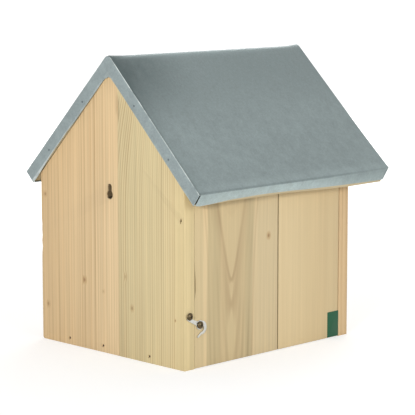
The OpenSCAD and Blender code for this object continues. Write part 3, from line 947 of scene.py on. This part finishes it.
def roofBoard(name, side, start, end, laps):
    thick, front, back = roofBoards["thick"], roofBoards["front"], roofBoards["back"]
    along, out = slopeAxes(side)
    thin = thick - roofBoards["air"]
    place = onSlope(side, (start + end) / 2, (front + back) / 2, thin / 2 - thick)
    piece = cube(name, place, (end - start, back - front, thin), side * math.pi / 4)
    top = ridgeLine - roofBoards["air"] / slope.z
    openMesh()
    if laps:  # cut above the other slope, and bent over the ridge
        bisect((0, 0, top), (-slope.x, 0, slope.z), use_fill=True, clear_outer=True)
        choose("EDGE", lambda edge: runs(edge, (0, 1, 0)) and abs(middle(edge).z - top) < 0.0005)
        bevel(roofBoards["bend"], 10)
    elif start <= 0:  # cut under the other slope's board
        bisect((0, 0, ridgeLine - thick / slope.z), slope, use_fill=True, clear_outer=True)
    closeMesh()
    roundEdges(piece, "roof")
    if start > 0:
        cut(piece, [cornerPocket(side, end)])
        # lines across, along and through it, so that the board follows the sheet's curved eave
        openMesh()
        for distance in roofBoards["crossLines"]:
            bisect((0, back - distance, 0), (0, 1, 0))
        for run in roofBoards["longLines"]:
            bisect(onSlope(side, run, 0, 0), along)
        for depth in roofBoards["depthLines"]:
            bisect(onSlope(side, 0, 0, -depth), out)
        closeMesh()
    skewRoof(piece)
    if start > 0:  # it stays inside the skirts where the sheet's corner stands up
        def setBackShare(point):
            near = closeness(point.y - front, roofBoards["setBackReach"])
            return near * beyond(underSheet(point)[1], *roofBoards["setBackRun"]) if side < 0 else 0

        nudge(piece, slope * sheetShape["lift"], liftShare)
        nudge(piece, (0, roofBoards["setBack"], 0), setBackShare)
    return piece


def roofDeck():
    halfGap = 0.0003
    joint, end = roofBoards["joint"], roofBoards["end"]
    for side, slopeName, sideName, lie, upper, lower in (
        (1, "wall_side", "WallSide", "wallSlope", (-0.1, 0.4, 0.0036, 21.0), (-0.2, 0.14, 0.0031, 22.3)),
        (-1, "door_side", "DoorSide", "doorSlope", (-0.1, 0.42, 0.0038, 23.9), (0.05, 0.31, 0.0033, 24.4)),
    ):
        laps = side > 0
        for row, (start, stop), (across, through, width, seed) in (
            ("Upper", (-roofBoards["thick"] if laps else 0, joint - halfGap), upper),
            ("Lower", (joint + halfGap, end), lower),
        ):
            name = "roof" + row + sideName
            piece = roofBoard(name, side, start, stop, laps and row == "Upper")
            # end grain much darker: partly end grain, partly painted shade below the sheet's skirts
            looks = {"pith": (across, through), "ringWidth": width, "seed": seed, "ends": 0.5}
            looks.update(pale=roofBoards["pale"], late=roofBoards["late"])
            node = f"roof_board_{row.lower()}_{slopeName}"
            dress(piece, pine(name, lie, looks), "house", "pine_boards", node)


# Roof sheet: one sheet bent over the ridge and folded down on all four sides

sheetShape = {
    "thick": 0.0006, "reach": 0.15, "ridge": 0.353876, "ridgeRadius": 0.0094,
    "front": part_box("roof_sheet")[0].y, "back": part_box("roof_sheet")[1].y,
    "skirt": 0.0146, "slit": 0.0021, "frontSlit": 0.0009, "foldRadius": 0.0011,
    # unevenness, its size, and where it begins: below the slopes, inside the edges, beside the ridge
    "waves": 0.0005, "waveSize": 0.045, "bulge": 0.0002, "bulgeSize": 0.09,
    "hemFade": (0.002, 0.012), "flatFade": (0.004, 0.05), "ridgeFade": (0.012, 0.03),
    # distances from the back, and depth of the hand-cut skirt over the door
    "hem": (
        (0.0, 0.0162), (0.03, 0.0157), (0.057, 0.0139), (0.118, 0.0121), (0.15, 0.013), (0.262, 0.0135),
        (0.3, 0.0143), (0.33, 0.0152),
    ),
    "deepest": 0.0162, "shallowest": 0.0121,
    # sharper ends of the ridge
    "peakBack": 0.0010, "peakFront": 0.0016, "peakReach": 0.035, "peakWidth": 0.0062, "peakFoot": 0.33,
    # the front corner over the door isn't quite down on its board
    "lift": 0.0016, "liftRun": 0.125, "liftFrom": 0.2,
    # how much deeper the back skirts are, by places down the slope, over the wall and over the door
    "backSkirt": {
        1: ((0.0, 0.0028), (0.1, 0.0028), (0.118, 0.0017), (0.16, 0.0017), (0.205, 0.0039)),
        -1: ((0.0, 0.002),),
    },
    "wallSkirt": 0.0039,  # and the eave skirt over the wall
    "gableEnd": (0.09, 0.05),  # where the back skirts turn square to the slopes
}


def foldSheet(name, shape):
    reach, ridge, front, back = shape["reach"], shape["ridge"], shape["front"], shape["back"]
    bpy.ops.mesh.primitive_plane_add(
        size=1, location=(reach / 2, (front + back) / 2, ridge - reach / 2), rotation=(0, math.pi / 4, 0)
    )
    piece = bpy.context.object
    piece.scale = (reach * math.sqrt(2), back - front, 1)
    piece = added(name)
    openMesh()
    # the second slope, then the bend over the ridge
    choose("EDGE", lambda edge: same(middle(edge).x, 0))
    push((-reach, 0, -reach))
    choose("EDGE", lambda edge: same(middle(edge).x, 0) and runs(edge, (0, 1, 0)))
    bevel(shape["ridgeRadius"], 14)
    # where the eave skirts end, beside the slits at the corners
    for y in (back - shape["thick"] - shape["slit"], front + shape["thick"] + shape["frontSlit"]):
        bisect((0, y, 0), (0, 1, 0))
    # eave skirts, square to the slopes
    down = shape["skirt"] * slope.x
    for side in (1, -1):
        choose("EDGE", lambda edge: same(middle(edge).x, side * reach) and edge.calc_length() > 0.1)
        push((-side * down, 0, -down))
    # gable skirts, upright, cut square at the eaves
    for y in (back, front):
        choose("EDGE", lambda edge: all(same(point.co.y, y) for point in edge.verts))
        push((0, 0, -shape["skirt"] / slope.x))
        for side in (1, -1):
            choose("FACE", lambda face: all(same(point.co.y, y) for point in face.verts))
            eave = (side * reach, 0, ridge - reach)
            bpy.ops.mesh.bisect(plane_co=eave, plane_no=slopeAxes(side)[0], clear_outer=True)
    bpy.ops.mesh.select_all(action="SELECT")
    bpy.ops.mesh.remove_doubles(threshold=0.00001)
    bpy.ops.mesh.normals_make_consistent(inside=False)
    # small radii along the folds
    choose("EDGE", lambda edge: isSharp(edge, 1.0))
    bevel(shape["foldRadius"], 4)
    # a grid fine enough for the sheet's slight waves
    for direction, cuts in (((0, 1, 0), 63), ((1, 0, -1), 43), ((-1, 0, -1), 43)):
        choose("EDGE", lambda edge: runs(edge, direction) and edge.calc_length() > 0.1)
        bpy.ops.mesh.subdivide(number_cuts=cuts)
    choose("FACE", lambda face: face.normal.dot(face.calc_center_median() - Vector((0, 0, 0.15))) < 0)
    bpy.ops.mesh.flip_normals()
    closeMesh()
    return piece


def waves(piece, shape):
    # slight unevenness of thin sheet: the slopes sink a little, the skirts' edges wander
    hem = piece.vertex_groups.new(name="hem")
    flat = piece.vertex_groups.new(name="flat")
    for point in piece.data.vertices:
        x, y, z = point.co
        below = (shape["ridge"] - abs(x) - z) * slope.x  # depth under the slope's plane
        inner = min(y - shape["front"], shape["back"] - y, (shape["reach"] - abs(x)) * 1.4)
        onHem, onFlat = beyond(below, *shape["hemFade"]), beyond(inner, *shape["flatFade"])
        beside = beyond(abs(x), *shape["ridgeFade"])
        if beside and onHem:
            hem.add([point.index], min(1, onHem), "REPLACE")
        elif beside and onFlat:
            flat.add([point.index], min(1, onFlat, beside), "REPLACE")
    only(piece)
    for group, direction, size, strength, level in (
        ("hem", "Z", shape["waveSize"], shape["waves"], 0.2),
        ("flat", "NORMAL", shape["bulgeSize"], shape["bulge"], 1.0),
    ):
        clouds = bpy.data.textures.new(group, "CLOUDS")
        clouds.noise_scale, clouds.noise_depth = size, 1
        displace(piece, group, direction, strength * 2, level, clouds)
    shell = piece.modifiers.new("thickness", "SOLIDIFY")
    shell.thickness, shell.offset, shell.use_even_offset = shape["thick"], -1, True
    bpy.ops.object.modifier_apply(modifier=shell.name)


def settle(piece, shape):
    # what a sheet folded by hand does: skirts of uneven depth, a pinched ridge and one corner standing up
    back, front, skirt, eave, edge = shape["back"], shape["front"], shape["skirt"], roofSkew["eave"], 0.0012

    def hemShare(point, target):
        side, run, deep = underSheet(point)
        if side > 0 or run < eave or back - point.y < shape["slit"] * 0.9 or point.y < front + 0.001:
            return 0
        return deep / skirt * (between(shape["hem"], back - point.y) - skirt) / (target - skirt)

    def peakShare(point):
        behind = closeness(back - point.y, shape["peakReach"]) ** 2 * shape["peakBack"]
        ahead = closeness(point.y - front, shape["peakReach"]) ** 2 * shape["peakFront"]
        beside = closeness(abs(point.x), shape["peakWidth"])
        return beside * max(behind, ahead) / shape["peakFront"] * (point.z > shape["peakFoot"])

    def gableShare(point, wanted, ends):
        side, run, deep = underSheet(point)
        end = min(1.0, beyond(abs(point.x), *shape["gableEnd"]))
        onBack = side == wanted and point.y > back - edge
        more = between(shape["backSkirt"][wanted], run) / shape["wallSkirt"]
        return deep / skirt * onBack * more * (end if ends else 1 - end)

    def wallShare(point):
        side, run, deep = underSheet(point)
        return deep / skirt * (side > 0 and run > eave and point.y < back - edge)

    more = shape["wallSkirt"]
    for side in (1, -1):
        nudge(piece, (0, 0, -more / slope.z), lambda point: gableShare(point, side, False))
        nudge(piece, slopeAxes(side)[1] * -more, lambda point: gableShare(point, side, True))
    nudge(piece, slope * -more, wallShare)
    for target in (shape["deepest"], shape["shallowest"]):
        nudge(piece, slopeAxes(-1)[1] * (skirt - target), lambda point: hemShare(point, target))
    nudge(piece, (0, 0, shape["peakFront"]), peakShare)
    skewRoof(piece)
    nudge(piece, (0, 0, shape["lift"] / slope.z), liftShare)


roofDeck()
stage("roof boards")
roofSheet = foldSheet("roofSheet", sheetShape)
settle(roofSheet, sheetShape)
waves(roofSheet, sheetShape)
dress(roofSheet, galvanised(zincLooks), "house", "galvanised_sheet", "roof_sheet", smooth=35)
stage("roof sheet")


# Nails: one of each kind, then a copy for each place

nailKinds = {
    "brad": {"shank": 0.0009, "length": 0.040, "head": 0.0014, "sunk": 0.0005},
    "flat": {"shank": 0.0009, "length": 0.016, "head": 0.0013, "sunk": 0.0003},
    "batten": {"shank": 0.0009, "length": 0.024, "head": 0.0014, "sunk": 0.0003},
    "pivot": {"shank": 0.0013, "length": 0.050, "head": 0.0016, "sunk": 0.0009},
}
nailHead = {
    "thick": 0.0008, "under": 0.00012,  # and its slant below
    "face": ((0.0005, 1.0), (0.00012, 0.9), (0.00004, 0.6), (-0.00006, 0.35)),  # rings: rise and growth
}
nailPoint = {"length": 2.2, "growth": 0.12}  # in shank radii, and how thin it ends


def isEnd(face, up=1):  # a round bar's end face
    return len(face.verts) > 8 and face.normal.z * up > 0.9


def nail(kind):
    # head at the top, its face at the origin, point at the bottom
    shape = nailKinds[kind]
    shank, head = shape["shank"], shape["head"]
    point, thick = nailPoint["length"] * shank, nailHead["thick"]
    piece = rod(kind, (0, 0, point - shape["length"]), (0, 0, -thick), shank, 16)
    openMesh()
    choose("FACE", isEnd)
    push((0, 0, nailHead["under"]), head / shank)
    choose("FACE", lambda face: isEnd(face, -1) and face.calc_center_median().z < -2 * thick)
    push((0, 0, -point), nailPoint["growth"])
    for lift, growth in nailHead["face"]:
        choose("FACE", isEnd)
        push((0, 0, lift), growth)
    closeMesh()
    return piece


def facing(places, outward):
    return [(place, outward) for place in places]


def setNails(name, node, kind, placed, body="house", metal=None):
    # placed holds each head's place and the way that it faces
    first = nail(kind)
    copies = []
    for number, (place, outward) in enumerate(placed):
        copy = twin(first, f"{kind}{number}")
        turn = Vector(outward).to_track_quat("Z", "Y").to_matrix().to_4x4()
        spin = Matrix.Rotation(0.7 * number, 4, "Z")
        sunk = Matrix.Translation((0, 0, -nailKinds[kind]["sunk"]))
        copy.data.transform(Matrix.Translation(place) @ turn @ spin @ sunk)
        copies.append(copy)
    bpy.data.objects.remove(first)
    dress(joined(copies, name), metal or nailSteel, body, "nail_steel", node)


nailSteel = steel("nailSteel", (84, 68, 50), 0.3, 0.6, 0.5, rust=0.5)
zincNail = steel("zincNail", (108, 118, 122), 0.4, 0.55, 0.4)


def frontSkew(run):  # how far the front of the roof stands back at a place down the slope
    return roofSkew["ridgeShort"] * (1 - run / roofSkew["full"])


backPlaces = nailPlaces["backPanel"] + nailPlaces["backNarrow"]
backPlaces = backPlaces + [(x, y - 0.0015, z) for x, y, z in nailPlaces["backWall"]]
roofPlaces = [(side, run, y) for side in (1, -1) for run in (0.06, 0.118, 0.178) for y in (-0.132, 0.132)]
skirtPlaces = [(1, 0.073), (1, 0.160), (-1, 0.072), (-1, 0.152)]
skirtDepth = -0.0094  # of the nails in the skirts, below the boards' upper faces
nailFront, nailBack = [corner.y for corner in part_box("roof_sheet_nails")]
setNails("backPanelNails", "back_panel_nails", "brad", facing(backPlaces, (0, 1, 0)))
setNails("frontPanelNails", "front_panel_nails", "brad", facing(mirrored(backPlaces), (0, -1, 0)))
setNails("wallNails", "wall_nails", "brad", facing(nailPlaces["wall"], (1, 0, 0)))
setNails("roofBoardNails", "roof_board_nails", "brad", [
    (onSlope(side, run, y, 0), (side, 0, 1)) for side, run, y in roofPlaces
])
setNails("roofSheetNails", "roof_sheet_nails", "flat", [
    (onSlope(side, run, nailBack, skirtDepth), (0, 1, 0)) for side, run in skirtPlaces
] + [
    (onSlope(side, run, nailFront + frontSkew(run), skirtDepth), (0, -1, 0)) for side, run in skirtPlaces
], metal=zincNail)
setNails("doorBattenNails", "door_batten_nails", "batten", facing(battenNails, (1, 0, 0)), "door")
setNails("pivotNailBack", "pivot_nail_back", "pivot", facing([pivotPlace], (0, 1, 0)))
setNails("pivotNailFront", "pivot_nail_front", "pivot", facing(mirrored([pivotPlace]), (0, -1, 0)))
stage("nails")


# Latch: two cross-head screws and the hook between them

screwShape = {
    "head": 0.0044, "height": 0.0028, "dome": 0.0055, "shank": 0.00175, "depth": 0.014,
    "cross": 0.0046, "slot": 0.0009, "crossDepth": 0.0013, "taper": 0.5, "sides": 40,
    "tip": 0.004, "tipGrowth": 0.1, "air": 0.0004,  # between the head and the hook
    "underside": ((0.0, 0.94), (0.0002, 1.0), (0.0006, 1.0)), "domeRings": 8,
}
screws = {
    "hookScrew": (0.1169, 0.0505, "hook_screw", "door", 0.5),
    "studScrew": (0.1334, 0.0623, "stud_screw", "house", 0.2),
}
hookFace = -0.1256  # the hook's outer face
doorFace = -0.124
plateSteel = steel("platedSteel", (206, 206, 200), 1.0, 0.30, 0.35)
# the screws' dark brown stands partly for a painted reflection of the wood round them, partly for rust
screwSteel = steel("screwSteel", (92, 82, 62), 1.0, 0.3, 1.3, rust=0.5)


def screw(name, y, z, node, body, turn):
    shape = screwShape
    head, height, dome, cross = shape["head"], shape["height"], shape["dome"], shape["cross"] / 2
    under = hookFace - shape["air"]  # underside of the head
    length, tip = doorFace - under + shape["depth"], shape["tip"]
    piece = rod(name, (0, 0, tip - length), (0, 0, 0), shape["shank"], shape["sides"])
    openMesh()
    choose("FACE", lambda face: isEnd(face, -1))
    push((0, 0, -tip), shape["tipGrowth"])
    # the head's flat underside, its rim, then the dome ring by ring
    rings = [(level, head * share) for level, share in shape["underside"]]
    rim = height - dome + math.sqrt(dome ** 2 - head ** 2)
    for step in range(1, shape["domeRings"]):
        level = rim + (height - rim) * math.sin(step / shape["domeRings"] * math.pi / 2)
        rings.append((level, math.sqrt(dome ** 2 - (dome - height + level) ** 2)))
    radius, reached = shape["shank"], 0.0
    for level, wide in rings:
        choose("FACE", isEnd)
        push((0, 0, level - reached), wide / radius)
        radius, reached = wide, level
    closeMesh()
    arms = []
    for quarter in (0, 1):
        arm = block("arm", (-cross, -shape["slot"] / 2, height - shape["crossDepth"]),
                    (cross, shape["slot"] / 2, height + 0.001))
        openMesh()
        choose("FACE", lambda face: face.normal.z < -0.9)
        bpy.ops.transform.resize(value=(shape["taper"], shape["taper"], 1))
        closeMesh()
        arm.data.transform(Matrix.Rotation(quarter * math.pi / 2, 4, "Z"))
        arms.append(arm)
    cut(piece, arms)
    towards = Matrix.Rotation(-math.pi / 2, 4, "Y")
    piece.data.transform(Matrix.Translation((under, y, z)) @ towards @ Matrix.Rotation(turn, 4, "Z"))
    dress(piece, screwSteel, body, "plated_steel", node)


for name, (y, z, node, body, turn) in screws.items():
    screw(name, y, z, node, body, turn)


def solidCopy(name, node):
    # a copy of a CAD node with its loose triangles joined into clean faces
    piece = twin(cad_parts[node], name)
    piece.parent = None
    piece.hide_render = piece.hide_viewport = False
    for key in list(piece.keys()):
        del piece[key]
    openMesh(piece)
    bpy.ops.mesh.select_all(action="SELECT")
    bpy.ops.mesh.remove_doubles(threshold=0.000005)
    bpy.ops.mesh.dissolve_limited(angle_limit=math.radians(0.5))
    closeMesh()
    return piece


hook = solidCopy("latchHook", "latch_hook")
openMesh()
choose("EDGE", lambda edge: isSharp(edge, 1.2))
bevel(0.00035, 3, True)
closeMesh()
dress(hook, plateSteel, "hook", "plated_steel", "latch_hook", smooth=40)
stage("latch")


# Plain label on the door

low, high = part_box("door_label")
label = block("doorLabel", low, high)
openMesh()
choose("EDGE", lambda edge: runs(edge, (1, 0, 0)))
bevel(0.0008, 4)
choose("EDGE", lambda edge: isSharp(edge, 1.2) and middle(edge).x < low.x + 0.00002)
bevel(0.00006, 2)
closeMesh()
dress(label, labelFoil(), "door", "green_label", "door_label")
stage("label")


# Floor and world


def seenDirectly(start):  # 1 for camera, glossy and transmission rays
    kinds = ("Is Camera Ray", "Is Glossy Ray", "Is Transmission Ray")
    camera, glossy, through = [start.add("ShaderNodeLightPath", out=kind) for kind in kinds]
    return camera.atLeast(glossy).atLeast(through)


def paleFloor(looks):
    bpy.ops.mesh.primitive_plane_add(size=looks["floorSize"], location=(0, 0, 0))
    floor = added("floor")
    material, start = newMaterial("paleFloor")
    paint, bounce = [
        start.add("ShaderNodeBsdfDiffuse", {"Color": (grey, grey, grey, 1)})
        for grey in (looks["floorPaint"], looks["bouncePaint"])
    ]
    x, y, z = start.spot().split()
    # the lamps light the floor less, away from the object
    far = (x * x + y * y).root().rise(*looks["glowReach"])
    strength = far * (looks["farGlow"] - looks["nearGlow"]) + looks["nearGlow"]
    glow = start.add("ShaderNodeEmission", {"Color": (1, 1, 1, 1), "Strength": strength})
    lit = start.add("ShaderNodeAddShader", {0: paint, 1: glow})
    mixed = start.add("ShaderNodeMixShader", {0: seenDirectly(start), 1: bounce, 2: lit})
    start.add("ShaderNodeOutputMaterial", {"Surface": mixed}, out=None)
    floor.data.materials.append(material)


def whiteRoom(looks):
    world = bpy.data.worlds.new("studio")
    bpy.context.scene.world = world
    world.use_nodes = True
    world.node_tree.nodes.clear()
    start = Sock(world.node_tree)
    strength = seenDirectly(start) * (1 - looks["ambient"]) + looks["ambient"]
    back = start.add("ShaderNodeBackground", {"Color": (1, 1, 1, 1), "Strength": strength})
    start.add("ShaderNodeOutputWorld", {"Surface": back}, out=None)


paleFloor(studio)
whiteRoom(studio)
bpy.context.scene.view_settings.view_transform = "Standard"

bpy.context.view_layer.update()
stage("finished")
